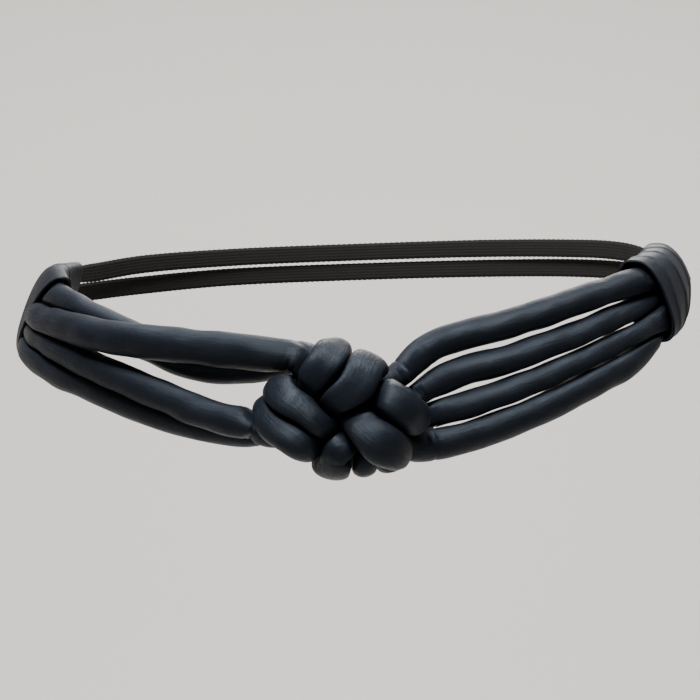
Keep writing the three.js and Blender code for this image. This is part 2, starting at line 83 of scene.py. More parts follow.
# Each cord's route. Rows on the hips are (angle, height, out). Rows in the knot are
# (along the long strands, across them, out, half width), from the knot's centre.
CORDS = [
    dict(
        name="cord_upper_inner",
        radius=6.8,
        left=[
            (-88, 6, 6), (-80, 3.5, 6.5), (-70, 1.5, 7.5), (-58, -3.5, 7), (-47, -10, 6.5),
            (-36, -17.5, 6.5), (-26, -25.2, 6.5), (-17, -26.5, 6.5), (-11.5, -24, 7),
        ],
        knot=[
            (7, -27, 9, 6.8), (8.5, -18, 12, 5.5), (9.5, -8, 14.5, 5.5), (11.5, -1, 18.5, 6),
            (13.8, 5, 25.5, 7.5), (14.2, 11, 29, 7.8), (14.2, 17, 27.5, 7.8), (13.5, 20, 20, 7.6),
            (11, 16.5, 10, 5), (6, 8, 8, 4), (1, -3, 9, 4), (-3, -13, 9, 4.5), (-7, -22, 10, 6.5),
            (-9, -25, 18, 7.8), (-8.5, -22.5, 26, 7.8), (-8.5, -15, 29, 7.2), (-9, -8, 28, 7),
            (-9, -3.5, 24, 6.5), (-8.8, 0.5, 18.5, 5), (-7, 5, 13, 4), (-2, 9.5, 9, 4),
            (4, 14.5, 6, 4), (6.5, 20, 5, 5), (10, 24.5, 4.5, 6), (18, 26.5, 6, 6.8),
        ],
        right=[
            (15.3, -42.4, 6.5), (22.6, -37, 6.5), (30.9, -30.3, 6.5), (38, -24.5, 6.5),
            (47.5, -17.7, 7), (57, -11, 9.5), (66, -4.5, 12.5), (76, 1.5, 13), (86, 6, 12.5),
        ],
    ),
    dict(
        name="cord_upper_outer",
        radius=7,
        left=[
            (-88, 1, 8.5), (-80, -3, 9.5), (-70, -7, 10.5), (-60, -9.8, 12.5), (-50, -12, 15),
            (-41, -14.8, 17.5), (-33, -16.3, 18), (-25, -18.2, 17), (-17, -19.8, 17),
            (-11, -21.8, 18),
        ],
        knot=[
            (6, -27.5, 17, 7), (1.5, -18, 16, 5.5), (-0.5, -9, 13.5, 4.5), (-1.3, -4.6, 14.5, 4.5),
            (-1.5, -0.5, 19.5, 5.5), (-1.5, 3.5, 25.5, 7), (-1.3, 8, 29, 8.2), (-1, 13, 30.5, 8.6),
            (-1, 17.5, 28, 8.6), (-0.5, 20, 20, 8), (-1, 17, 10.5, 5.5), (-4, 8, 8, 4),
            (-9, -4, 9, 4), (-13, -12, 10, 4.5), (-15.5, -19, 11, 6.5), (-17, -21.5, 18, 8.8),
            (-17.5, -19.5, 25, 8.8), (-18, -13, 28, 8), (-17, -6, 27, 7.5), (-15, -1, 22, 6),
            (-11, 4, 15, 4.5), (-5, 11, 14.5, 4.5), (-1, 17, 13, 5), (3, 24, 10, 6),
            (7.5, 31, 7, 7),
        ],
        right=[
            (14.8, -53.8, 6.5), (21.8, -48.3, 6.5), (29.8, -41.3, 6.5), (39.5, -32.5, 6.5),
            (49, -24.8, 7), (57, -15.5, 7.5), (66, -9, 7.5), (76, -1.5, 7.5), (86, 4, 7.5),
        ],
    ),
    dict(
        name="cord_lower_outer",
        radius=6.2,
        left=[
            (-88, -6.5, 6), (-80, -11.5, 6.5), (-70, -15.8, 8.5), (-58, -19.3, 10.5),
            (-46, -25.7, 12), (-36, -32.3, 13), (-28, -38.5, 14), (-21, -44.2, 16),
            (-15, -47.6, 17),
        ],
        knot=[
            (-21, -23, 13.5, 6), (-16, -18, 14, 5), (-10, -16.5, 17, 5), (-4, -17.5, 20.5, 6),
            (2, -17.8, 26, 7.4), (8, -17.9, 29, 8), (12.5, -17.6, 27, 8.6), (14.5, -17.4, 19, 8.2),
            (11.5, -15.5, 10, 5), (4, -10, 6, 4), (-5, -4, 6, 4), (-11, 1, 8, 5),
            (-14.5, 2.5, 16, 7.6), (-14.5, 2.7, 24, 8), (-12, 2.8, 27.5, 8), (-9, 3, 26.5, 7),
            (-5, 3.3, 20.5, 5.5), (-1.3, 3.8, 15, 4.5), (4, 4.3, 14, 4.5), (9, 4.8, 14, 5),
            (16, 6.5, 11.5, 5.8), (22, 8.6, 8.5, 6.2),
        ],
        right=[
            (10.5, -20, 7.5), (16.7, -14.2, 6.8), (24.7, -10, 6.5), (33.8, -4.3, 6.5),
            (45.3, 1.9, 7), (57, 7.5, 10), (66, 10.3, 12.5), (76, 12.8, 13), (86, 15.5, 12.5),
        ],
    ),
    dict(
        name="cord_lower_inner",
        radius=6.6,
        left=[
            (-88, -12, 7), (-80, -18, 7.5), (-68, -24, 8), (-56, -30.2, 7), (-44, -36.4, 6.5),
            (-35, -42.4, 6.5), (-28, -46.8, 6.5), (-21, -50, 6.5), (-16, -51.7, 6.5),
        ],
        knot=[
            (-25, -24, 7, 6.6), (-19.5, -15, 8.5, 5), (-15, -7, 12, 4.5), (-9, -4.3, 14.5, 4.5),
            (-5, -4.4, 19.5, 5.5), (-1.3, -4.6, 25, 7), (4, -4.4, 29, 8), (9.5, -3.8, 31, 8.4),
            (14.5, -3.8, 29, 8.9), (17.4, -3.8, 19, 8.6), (14, -2, 9, 5), (6, 3, 6, 4),
            (-2, 9, 6.5, 4), (-7, 13, 9, 5), (-10.3, 15, 16, 6.5), (-10.1, 15.3, 21, 6.6),
            (-5, 16, 21, 5.5), (0, 15.8, 19, 4.5), (5, 15, 16, 4.5), (11, 15, 13.5, 5),
            (17.5, 16.5, 9, 6), (23.5, 18.5, 7, 6.6),
        ],
        right=[
            (15.9, -28.4, 6.5), (23.5, -24.2, 6.5), (29.8, -19.8, 6.5), (37.1, -15.2, 6.5),
            (48, -8, 6.8), (58, -3, 7.5), (66, 2.5, 7.5), (76, 8.5, 7.5), (86, 13, 7.5),
        ],
    ),
]

WRAP_WALL = 2
WRAP_SQUARE = 2.6  # the squareness of a wrap's section
WRAP_ROOM = 0.8  # between a wrap and its cords
MOUTH_MARGIN = 2  # degrees past a wrap's ends where its cords are still narrowed to fit

# Each wrap, as rows of (angle, height, out, half height, half depth, lean, tuck) of its outer
# section. The lean is how many degrees its top is ahead of its middle, and the tuck is how far its
# foot is drawn in. Its folds are rows of (place at the top, place at the bottom, height): places
# are shares of its length from the mouth, and a fold's height is how far its edge stands proud.
WRAPS = [
    dict(
        name="wrap_left",
        rows=[
            (-75, -8, 7, 18, 7.6, 6, 0),
            (-81, -5.6, 7.6, 19.4, 8, 5, 0),
            (-87, -3, 7.6, 18.8, 8, 3.5, 0),
            (-94, 1.4, 7.4, 15.2, 7, 2, 0),
            (-101, 6, 7, 11.8, 5.8, 0, 0),
        ],
        folds=[(0.3, 0.12, 0.3), (0.62, 0.42, 0.45)],
    ),
    dict(
        name="wrap_right",
        rows=[
            (58.5, -0.5, 10.2, 17.4, 9.8, -1, 0),
            (67, 3.6, 10.8, 16.3, 10, -1, 3),
            (76, 8.3, 10.8, 14.6, 9.8, -1, 5.5),
            (85, 12, 11, 13.3, 8.6, 0, 5.5),
            (93.5, 13.6, 12.6, 12.5, 6.7, 0, 1),
        ],
        folds=[(0.12, 0.08, 0.5), (0.3, 0.18, 0.7), (0.5, 0.29, 0.8), (0.72, 0.45, 0.6)],
    ),
]

STRAP_HEIGHT, STRAP_THICK = 8.8, 1.6
STRAP_END_SHARE = 0.72  # the share of its height that it is gathered to at each end
STRAP_END = (8, 34)  # distances from the end between which it opens to its full height

# The elastic straps: rows of (angle, height, out) of each centre line.
STRAPS = [
    dict(
        name="elastic_upper",
        rows=[
            (-93, 6.5, 7), (-101, 11, 7), (-112, 13.5, 5), (-126, 17.5, 2.5), (-150, 21.5, 1.2),
            (-180, 24.5, 1.2), (-210, 26, 1.2), (-234, 25.3, 2.6), (-248, 23.8, 7),
            (-260, 20, 12.2), (-268, 16, 13),
        ],
    ),
    dict(
        name="elastic_lower",
        rows=[
            (-93, -1.5, 7), (-101, 2.2, 7), (-112, 4.2, 5), (-126, 7, 2.5), (-150, 11.5, 1.2),
            (-180, 14.5, 1.2), (-210, 16, 1.2), (-234, 15.7, 2.6), (-248, 14.2, 7),
            (-260, 11, 12.2), (-268, 8, 13),
        ],
    ),
]


# ---------------------------------------------------------------- small maths
def smoothstep(value, low, high):
    share = np.clip((value - low) / (high - low), 0, 1)
    return share * share * (3 - 2 * share)


def unit(vectors):
    return vectors / np.linalg.norm(vectors, axis=-1, keepdims=True)


def dot(a, b):
    return np.sum(a * b, axis=-1)


def turns(sides):
    """The angles of a ring's corners."""
    return 2 * np.pi * np.arange(sides) / sides


# ---------------------------------------------------------------- placing on the hips
OUT_ROUNDS = 6  # rounds in which the distance out from the ellipse is found


def hip_point(angle, height, out):
    """A point by its angle round the hips, its height and how far out from them it is."""
    across = HALF_WIDTH - SIDE_FLARE * height + out
    deep = HALF_DEPTH - FRONT_FLARE * height + out
    x, y, z = np.broadcast_arrays(across * np.sin(angle), -deep * np.cos(angle), height)
    return np.stack([x, y, z], axis=-1)


def out_of(points):
    """How far out from the hips each point is."""
    x, y, z = np.moveaxis(points, -1, 0)
    across = HALF_WIDTH - SIDE_FLARE * z
    deep = HALF_DEPTH - FRONT_FLARE * z
    out = np.zeros_like(x)
    for _ in range(OUT_ROUNDS):
        share = np.hypot(x / (across + out), y / (deep + out))
        out = out + (share - 1) * np.hypot(x, y)
    return out


def knot_point(along, across, out):
    """A point of the knot: along its long strands, across them, and out from the hips."""
    x = KNOT_X + along * math.cos(KNOT_LEAN) + across * math.sin(KNOT_LEAN)
    height = KNOT_Z + along * math.sin(KNOT_LEAN) - across * math.cos(KNOT_LEAN)
    return hip_point(math.asin(x / (HALF_WIDTH - SIDE_FLARE * height + out)), height, out)


KNOT_CENTRE = knot_point(0, 0, KNOT_OUT)
KNOT_ALONG = unit(knot_point(1, 0, KNOT_OUT) - knot_point(-1, 0, KNOT_OUT))
KNOT_ACROSS = unit(knot_point(0, 1, KNOT_OUT) - knot_point(0, -1, KNOT_OUT))


# ---------------------------------------------------------------- the cords' centre lines
def evenly(points, step, parts=24):
    """Points a step apart along a centripetal Catmull-Rom curve through the given ones."""
    points = np.asarray(points, dtype=float)
    ends = np.vstack([2 * points[0] - points[1], points, 2 * points[-1] - points[-2]])
    gaps = np.linalg.norm(np.diff(ends, axis=0), axis=1) ** 0.5
    share = (np.arange(parts) / parts)[:, None]
    spans = []
    for i in range(len(points) - 1):
        p0, p1, p2, p3 = ends[i : i + 4]
        d0, d1, d2 = gaps[i : i + 3]
        leave = ((p1 - p0) / d0 - (p2 - p0) / (d0 + d1) + (p2 - p1) / d1) * d1
        arrive = ((p2 - p1) / d1 - (p3 - p1) / (d1 + d2) + (p3 - p2) / d2) * d1
        square = 3 * (p2 - p1) - 2 * leave - arrive
        cube = 2 * (p1 - p2) + leave + arrive
        spans.append(p1 + share * (leave + share * (square + share * cube)))
    dense = np.vstack([*spans, points[-1:]])
    along = np.concatenate([[0], np.cumsum(np.linalg.norm(np.diff(dense, axis=0), axis=1))])
    at = np.linspace(0, along[-1], max(2, round(along[-1] / step)) + 1)
    return np.stack([np.interp(at, along, dense[:, k]) for k in range(3)], axis=1)


def on_hips(rows):
    """The points of rows of (angle in degrees, height, out)."""
    return [hip_point(math.radians(angle), height, out) for angle, height, out in rows]


def in_knot(cord):
    return [knot_point(along, across, out) for along, across, out, _ in cord["knot"]]


def route_of(cord):
    """A cord's centre line before it is settled."""
    return evenly([*on_hips(cord["left"]), *in_knot(cord), *on_hips(cord["right"])], SETTLE_STEP)


def distances(line):
    """How far along a line each of its points is."""
    steps = np.linalg.norm(np.diff(line, axis=0), axis=1)
    return np.concatenate([[0], np.cumsum(steps)])


def widths_of(cord, route):
    """The half width at each point of a cord's route."""
    near = [np.linalg.norm(route - point, axis=1).argmin() for point in in_knot(cord)]
    widths = [width for *_, width in cord["knot"]]
    free = cord["radius"]
    return np.interp(np.arange(len(route)), near, widths, left=free, right=free)


def settle(lines, widths):
    """Pushes the lines apart where they crowd each other, as soft cords in a pulled knot do."""
    spots = [
        (c, i)
        for c, line in enumerate(lines)
        for i in range(len(line))
        if np.linalg.norm(line[i] - KNOT_CENTRE) < KNOT_REACH
    ]
    start = [lines[c][i].copy() for c, i in spots]
    half = np.array([widths[c][i] for c, i in spots])
    least = np.minimum(SETTLE_SHARE * (half[:, None] + half), SETTLE_APART)
    cord, index = np.array(spots).T
    own = (cord[:, None] == cord) & (np.abs(index[:, None] - index) < round(OWN_SPAN / SETTLE_STEP))
    for _ in range(SETTLE_ROUNDS):
        for (c, i), first in zip(spots, start):
            line = lines[c]
            middle = (line[i - 1] + line[i + 1]) / 2
            line[i] += SETTLE_SMOOTH * (middle - line[i])
            line[i] += SETTLE_HOLD * (first - line[i])
        points = np.array([lines[c][i] for c, i in spots])
        for i in range(len(points) - 1):
            later = points[i + 1 :]
            away = points[i] - later
            apart = np.linalg.norm(away, axis=1)
            near = (apart < least[i, i + 1 :]) & ~own[i, i + 1 :]
            push = (least[i, i + 1 :] - apart)[near] * SETTLE_PUSH / 2
            shift = away[near] / apart[near, None] * push[:, None]
            points[i] += shift.sum(axis=0)
            later[near] -= shift
        points[:, 1] -= np.maximum(half * SETTLE_SHARE - out_of(points), 0)
        for (c, i), point in zip(spots, points):
            lines[c][i] = point


# ---------------------------------------------------------------- the wraps' sections
def wrap_section(wrap, angle):
    """The wrap's section at each angle in degrees, between its rows and past them."""
    rows = np.array(sorted(wrap["rows"]), dtype=float)
    angle = np.asarray(angle, dtype=float)
    i = np.clip(np.searchsorted(rows[:, 0], angle) - 1, 0, len(rows) - 2)
    share = (angle - rows[i, 0]) / (rows[i + 1, 0] - rows[i, 0])
    return rows[i] + share[..., None] * (rows[i + 1] - rows[i])


def hits_wrap(points):
    """True for each point that is in a wrap's angles but not within its cavity."""
    angle = np.degrees(np.arctan2(points[..., 0] / HALF_WIDTH, -points[..., 1] / HALF_DEPTH))
    z, out = points[..., 2], out_of(points)
    room = WRAP_WALL + WRAP_ROOM
    hit = np.zeros(angle.shape, dtype=bool)
    for wrap in WRAPS:
        start, end = sorted([wrap["rows"][0][0], wrap["rows"][-1][0]])
        _, height, _, half_height, _, lean, _ = np.moveaxis(wrap_section(wrap, angle), -1, 0)
        upright = angle - lean * np.clip((z - height) / half_height, -1, 1)
        inside = (upright > start - MOUTH_MARGIN) & (upright < end + MOUTH_MARGIN)
        section = np.moveaxis(wrap_section(wrap, upright), -1, 0)
        _, height, middle, half_height, half_depth, _, tuck = section
        up = (z - height) / np.maximum(half_height - room, 1)
        middle = middle - tuck * np.clip(-up, 0, 1)
        away = np.abs(out - middle) / np.maximum(half_depth - room, 1)
        hit |= inside & (np.abs(up) ** WRAP_SQUARE + away**WRAP_SQUARE > 1)
    return hit


# ---------------------------------------------------------------- the cords' form
def wide_axes(points, tangent, step):
    """For each point of a line, the way that it is pressed wide: across its run over the knot."""
    along, across = tangent @ KNOT_ALONG, tangent @ KNOT_ACROSS
    over = LEAST_OVER + smoothstep(out_of(points), *OVER)
    span = round(AXIS_SPAN / step)
    more = running(over * (along**2 - across**2), span, np.mean)
    both = running(over * 2 * along * across, span, np.mean)
    run = np.arctan2(both, more) / 2
    axis = np.cos(run)[:, None] * KNOT_ACROSS - np.sin(run)[:, None] * KNOT_ALONG
    return unit(axis - tangent * dot(axis, tangent)[:, None])


def extent(radius, width, axis, ways):
    """How far a free cord's section reaches each way: a circle, or a box with round ends."""
    more = np.clip((width - radius) / SQUARE_AT, 0, 1)
    power = SQUARE[0] + (SQUARE[1] - SQUARE[0]) * more
    thick = np.minimum(radius - THIN * (width - radius), width)
    wide = np.abs(dot(ways, axis))
    high = np.sqrt(np.maximum(1 - wide**2, 0))
    return ((wide / width) ** power + (high / thick) ** power) ** (-1 / power)


def trace(cord, line, widths, step):
    """A cord's centre line as points a step apart, with what its section needs at each."""
    points = evenly(line, step)
    gap = max(1, round(BEND_SPAN / step))
    ahead = points[np.minimum(np.arange(len(points)) + gap, len(points) - 1)]
    behind = points[np.maximum(np.arange(len(points)) - gap, 0)]
    tangent = unit(ahead - behind)
    half = np.linalg.norm(ahead - behind, axis=1, keepdims=True) / 2
    at = distances(points)
    width = np.interp(at, distances(line), widths)
    return dict(
        points=points,
        tangent=tangent,
        bend=(ahead + behind - 2 * points) / half**2,
        at=at,
        width=width,
        radius=np.full(len(points), float(cord["radius"])),
        axis=wide_axes(points, tangent, step),
    )


def ways_round(tangent):
    """The ways round each point of a line, turned no more than the line itself turns."""
    side = np.array([0.0, 0.0, 1.0])
    sides = []
    for along in tangent:
        side = unit(side - along * dot(side, along))
        sides.append(side)
    sides = np.array(sides)
    ups = np.cross(tangent, sides)
    turn = turns(CORD_SIDES)
    return sides[:, None] * np.cos(turn)[:, None] + ups[:, None] * np.sin(turn)[:, None]


def running(values, span, pick):
    """The least or mean of each value and its neighbours along the cord."""
    padded = np.concatenate([values[:1].repeat(span, 0), values, values[-1:].repeat(span, 0)])
    return pick([padded[i : i + len(values)] for i in range(2 * span + 1)], axis=0)


def cord_reach(index, fine, ways, sites):
    """How far a cord reaches each way: where two press on each other, each to its own share."""
    spots = [fine[key][:, None] for key in ("radius", "width", "axis")]
    reach = extent(*spots, ways)
    for i, centre in enumerate(fine["points"]):
        to = sites["points"] - centre
        square = dot(to, to)
        own = (sites["cord"] == index) & (np.abs(sites["at"] - fine["at"][i]) <= OWN_SPAN)
        crowd = np.flatnonzero((square < (CROWD * fine["width"][i]) ** 2) & ~own)
        if not len(crowd):
            continue
        to, apart = to[crowd], np.sqrt(square[crowd])
        toward_it = to / apart[:, None]
        mine = extent(fine["radius"][i], fine["width"][i], fine["axis"][i], toward_it)
        other = extent(*[sites[key][crowd] for key in ("radius", "width", "axis")], toward_it)
        share = np.clip(mine / (mine + other), 0.5 - PUSH_LIMIT, 0.5 + PUSH_LIMIT)
        half = share * apart**2 - CORD_GAP / 2 * apart
        toward = ways[i] @ to.T
        room = np.where(toward > 0, half / np.maximum(toward, TINY), np.inf).min(axis=1)
        tight = np.maximum(room, SHRINK_LEAST) ** -ROUNDING
        reach[i] = (reach[i] ** -ROUNDING + tight) ** (-1 / ROUNDING)
    inward = dot(fine["bend"][:, None], ways)
    reach = np.where(inward > 0, np.minimum(reach, BEND_LIMIT / np.maximum(inward, TINY)), reach)
    for _ in range(SHRINK_ROUNDS):
        points = fine["points"][:, None] + ways * reach[..., None]
        bad = (reach > SHRINK_LEAST) & ((out_of(points) < SKIN_GAP) | hits_wrap(points))
        if not bad.any():
            break
        reach[bad] *= SHRINK_BY
    span = round(SOFTEN / CORD_STEP)
    return running(running(reach, span, np.min), span, np.mean)


LUMP_SIZE, LUMP_LENGTH, LUMP_COUNT = 0.055, 40, 9  # each wave's height, the longest, and how many
LUMP_SHORTEST = 0.35  # the shortest's share of the longest
LUMP_TWIST = 3  # the most waves round the cord
LUMP_SEED, PUCKER_SEED = 10, 20


def lumps(at, turn, seed):
    """A soft uneven swell of the stuffing, from waves that close round the cord."""
    rng = np.random.default_rng(seed)
    total = np.zeros(np.broadcast_shapes(at.shape, turn.shape))
    for _ in range(LUMP_COUNT):
        wave = LUMP_LENGTH * rng.uniform(LUMP_SHORTEST, 1)
        around = rng.integers(-LUMP_TWIST, LUMP_TWIST + 1)
        total += np.sin(2 * np.pi * at / wave + around * turn + rng.uniform(0, 2 * np.pi))
    return total * LUMP_SIZE


PUCKER_GAP = 4.2  # mean spacing of the puckers along the inside of a bend
PUCKER_DEPTH = 0.55
PUCKER_WIDTH = 0.9
PUCKER_VARY = dict(gap=(0.6, 1.4), depth=(0.4, 1.2), width=(0.7, 1.3))  # shares of the mean
PUCKER_SLANT = 1.2  # the most that one side of a pucker is ahead of its middle
PUCKER_LIP = 0.35  # the share of its depth that the cloth beside it rises
PUCKER_BEND = (0.02, 0.07)  # the bends, in 1/mm, from which puckers start and are deepest
PUCKER_PAST = 0.25  # how far past the bend's inner half they run
PUCKER_FADE = 1.5  # how suddenly they fade out towards there


def puckers(at, turn, bend, ways, seed):
    """Creases across the inside of each bend, where the satin has cloth to spare."""
    rng = np.random.default_rng(seed)
    sharp = np.linalg.norm(bend, axis=1)
    inward = dot(bend[:, None], ways) / np.maximum(sharp, TINY)[:, None]
    weight = np.clip(inward + PUCKER_PAST, 0, None) ** PUCKER_FADE
    weight = weight * smoothstep(sharp, *PUCKER_BEND)[:, None]
    relief = np.zeros_like(weight)
    place = 0.0
    while place < at[-1]:
        place += PUCKER_GAP * rng.uniform(*PUCKER_VARY["gap"])
        middle = rng.uniform(0, 2 * np.pi)
        slant = rng.uniform(-PUCKER_SLANT, PUCKER_SLANT)
        depth = PUCKER_DEPTH * rng.uniform(*PUCKER_VARY["depth"])
        width = PUCKER_WIDTH * rng.uniform(*PUCKER_VARY["width"])
        off = at[:, None] - place - slant * np.sin(turn - middle)
        relief -= depth * np.exp(-((off / width) ** 2))
        relief += PUCKER_LIP * depth * np.exp(-(((np.abs(off) - 2 * width) / width) ** 2))
    return relief * np.minimum(weight, 1)


SEAM_TURN = math.radians(205)  # where it runs, from the upper side at the cord's left end
SEAM_WIDTH, SEAM_DEPTH = 0.55, 0.4


def seam(turn, radius):
    """The cord's long seam, a fine groove on its hidden side."""
    off = (turn - SEAM_TURN) * radius
    return -SEAM_DEPTH * np.exp(-((off / SEAM_WIDTH) ** 2))


def settled_cords():
    """The settled lines, their half widths, and the points that each cord keeps clear of."""
    lines = [route_of(cord) for cord in CORDS]
    widths = [widths_of(*pair) for pair in zip(CORDS, lines)]
    settle(lines, widths)
    traces = [trace(*three, SITE_STEP) for three in zip(CORDS, lines, widths)]
    sites = {key: np.concatenate([each[key] for each in traces]) for key in traces[0]}
    sites["cord"] = np.repeat(np.arange(len(CORDS)), [len(each["at"]) for each in traces])
    return lines, widths, sites


def cord_points(index, lines, widths, sites):
    """The points of a cord's satin: rings across its centre line."""
    cord = CORDS[index]
    fine = trace(cord, lines[index], widths[index], CORD_STEP)
    ways = ways_round(fine["tangent"])
    turn = turns(CORD_SIDES)
    reach = cord_reach(index, fine, ways, sites)
    reach = reach + lumps(fine["at"][:, None], turn, LUMP_SEED + index)
    reach = reach + puckers(fine["at"], turn, fine["bend"], ways, PUCKER_SEED + index)
    reach = reach + seam(turn, cord["radius"])
    return fine["points"][:, None] + ways * np.maximum(reach, SHRINK_LEAST)[..., None]


# ---------------------------------------------------------------- meshes
def add_object(name, data):
    obj = bpy.data.objects.new(name, data)
    bpy.context.scene.collection.objects.link(obj)
    return obj


def grid_mesh(name, points, across, closed=False):
    """A mesh through rings of points, with its cloth coordinates in millimetres.

    points is rings x corners. across holds each ring's own measure round, one more than its
    corners. closed joins the last ring to the first; otherwise each end is closed by a fan.
    """
    rings, corners = points.shape[:2]
    spans = rings if closed else rings - 1
    ring, side = np.meshgrid(np.arange(spans), np.arange(corners), indexing="ij")
    after, next_side = (ring + 1) % rings, (side + 1) % corners
    quads = np.stack(
        [
            ring * corners + side,
            ring * corners + next_side,
            after * corners + next_side,
            after * corners + side,
        ],
        axis=-1,
    ).reshape(-1, 4)
    steps = np.linalg.norm(np.diff(points.mean(axis=1), axis=0), axis=1)
    along = np.concatenate([[0], np.cumsum(steps), [steps.sum() + steps.mean()]])
    u = np.stack([along[ring], along[ring], along[ring + 1], along[ring + 1]], axis=-1).reshape(-1)
    v = np.stack(
        [across[ring, side], across[ring, side + 1], across[after, side + 1], across[after, side]],
        axis=-1,
    ).reshape(-1)
    vertices = points.reshape(-1, 3)
    faces = quads.tolist()
    uv = np.stack([u, v], axis=-1)
    if not closed:
        first, last = len(vertices), len(vertices) + 1
        vertices = np.vstack([vertices, points[0].mean(axis=0), points[-1].mean(axis=0)])
        start = (rings - 1) * corners
        for k in range(corners):
            after_k = (k + 1) % corners
            faces.append([first, after_k, k])
            faces.append([last, start + k, start + after_k])
        uv = np.vstack([uv, np.zeros((6 * corners, 2))])
    mesh = bpy.data.meshes.new(name)
    mesh.from_pydata((vertices * MM).tolist(), [], faces)
    layer = mesh.uv_layers.new(name="cloth")
    layer.data.foreach_set("uv", uv.reshape(-1))
    mesh.validate()
    if signed_volume(vertices, faces) < 0:
        mesh.flip_normals()
    mesh.shade_smooth()
    return add_object(name, mesh)


def signed_volume(vertices, faces):
    """A closed mesh's volume, which is negative where its faces are inside out."""
    total = 0.0
    for sides in (3, 4):
        group = np.array([face for face in faces if len(face) == sides])
        for k in range(1, sides - 1):
            if len(group):
                a, b, c = (vertices[group[:, j]] for j in (0, k, k + 1))
                total += dot(a, np.cross(b, c)).sum()
    return total / 6


# ---------------------------------------------------------------- materials
SHEEN_ROUGHNESS = 0.45
MIX_FIRST, MIX_SECOND, MIX_OUT = 6, 7, 2  # the colour sockets of Blender's Mix node


def shader(name, base, roughness, specular, tint=(1, 1, 1), sheen=0.0):
    """A new material with its Principled shader's even values set on its own sockets."""
    material = bpy.data.materials.new(name)
    material.use_nodes = True
    principled = material.node_tree.nodes["Principled BSDF"]
    values = {
        "Base Color": (*base, 1),
        "Roughness": roughness,
        "Specular IOR Level": specular,
        "Specular Tint": (*tint, 1),
        "Sheen Weight": sheen,
        "Sheen Roughness": SHEEN_ROUGHNESS,
    }
    for socket, value in values.items():
        principled.inputs[socket].default_value = value
    return material, principled


class Nodes:
    """Adds nodes to a material's tree, with their sockets' values and links."""

    def __init__(self, material):
        self.tree = material.node_tree
        self.place = self.tree.nodes.new("ShaderNodeTexCoord").outputs["UV"]

    def add(self, kind, links, **values):
        node = self.tree.nodes.new(kind)
        for name, value in values.items():
            node.inputs[name.replace("_", " ")].default_value = value
        for socket, source in links.items():
            self.tree.links.new(source, node.inputs[socket])
        return node

    def bands(self, direction, scale, detail_scale):
        """Bands across the cloth that waver a little."""
        node = self.add(
            "ShaderNodeTexWave",
            {"Vector": self.place},
            Scale=scale,
            Distortion=1.2,
            Detail=2.0,
            Detail_Scale=detail_scale,
        )
        node.bands_direction = direction
        return node.outputs[0]

    def noise(self, place, scale, detail):
        node = self.add("ShaderNodeTexNoise", {"Vector": place}, Scale=scale, Detail=detail)
        return node.outputs[0]

    def stretch(self, scale):
        """The cloth coordinates, each times its own number."""
        return self.add("ShaderNodeMapping", {"Vector": self.place}, Scale=scale).outputs[0]

    def mix(self, factor, first, second):
        """Between two colours."""
        node = self.tree.nodes.new("ShaderNodeMix")
        node.data_type = "RGBA"
        self.tree.links.new(factor, node.inputs[0])
        node.inputs[MIX_FIRST].default_value = (*first, 1)
        node.inputs[MIX_SECOND].default_value = (*second, 1)
        return node.outputs[MIX_OUT]

    def span(self, value, given, wanted):
        """A value from one range taken to another."""
        node = self.add(
            "ShaderNodeMapRange",
            {"Value": value},
            From_Min=given[0],
            From_Max=given[1],
            To_Min=wanted[0],
            To_Max=wanted[1],
        )
        return node.outputs[0]

    def bumps(self, rows):
        """The bumps of rows of (height, strength, depth in metres), each on top of the last."""
        below = {}
        for height, strength, depth in rows:
            links = {"Height": height, **below}
            node = self.add("ShaderNodeBump", links, Strength=strength, Distance=depth)
            below = {"Normal": node.outputs[0]}
        return node.outputs[0]

    def finish(self, source, principled, socket):
        self.tree.links.new(source, principled.inputs[socket])


NAVY_DARK = (0.0014, 0.0018, 0.0032)
NAVY_LIGHT = (0.0042, 0.0054, 0.0086)
SATIN_TINT = (0.73, 0.87, 1.0)
FLOAT_SCALE = 1.3  # the floats' waves for each millimetre
STREAK_SCALE = (0.10, 1.5, 1)  # slubs are long along the cord and fine round it
SLUB_RANGE = (0.25, 0.75)
SATIN_ROUGHNESS = (0.38, 0.56)  # at the ends of the slubs' range


def satin():
    """Satin: close slanting floats, streaks that run along the thread, and cloudy dye."""
    material, principled = shader("navy satin", NAVY_DARK, 0.45, specular=0.13, tint=SATIN_TINT)
    nodes = Nodes(material)
    floats = nodes.bands("DIAGONAL", FLOAT_SCALE, detail_scale=1.5)
    slubs = nodes.noise(nodes.stretch(STREAK_SCALE), scale=1.0, detail=4.0)
    cloud = nodes.noise(nodes.place, scale=0.08, detail=3.0)
    dimples = nodes.noise(nodes.place, scale=0.3, detail=2.0)
    nodes.finish(nodes.mix(cloud, NAVY_DARK, NAVY_LIGHT), principled, "Base Color")
    nodes.finish(nodes.span(slubs, SLUB_RANGE, SATIN_ROUGHNESS), principled, "Roughness")
    bump = nodes.bumps([(floats, 0.7, 0.00009), (slubs, 0.5, 0.00024), (dimples, 0.4, 0.0005)])
    nodes.finish(bump, principled, "Normal")
    return material


ELASTIC_DARK = (0.0034, 0.0027, 0.0023)
ELASTIC_LIGHT = (0.0065, 0.0053, 0.0046)
LOOP_SCALE = 0.5


def elastic():
    """Knitted elastic: matt yarn with fine rows of loops across it."""
    material, principled = shader(
        "brown-black elastic", ELASTIC_DARK, 0.8, specular=0.15, sheen=0.05
    )
    nodes = Nodes(material)
    loops = nodes.bands("X", LOOP_SCALE, detail_scale=1.2)
    yarn = nodes.noise(nodes.place, scale=2.4, detail=5.0)
    nodes.finish(nodes.mix(yarn, ELASTIC_DARK, ELASTIC_LIGHT), principled, "Base Color")
    bump = nodes.bumps([(loops, 0.4, 0.00012), (yarn, 0.5, 0.00015)])
    nodes.finish(bump, principled, "Normal")
    return material


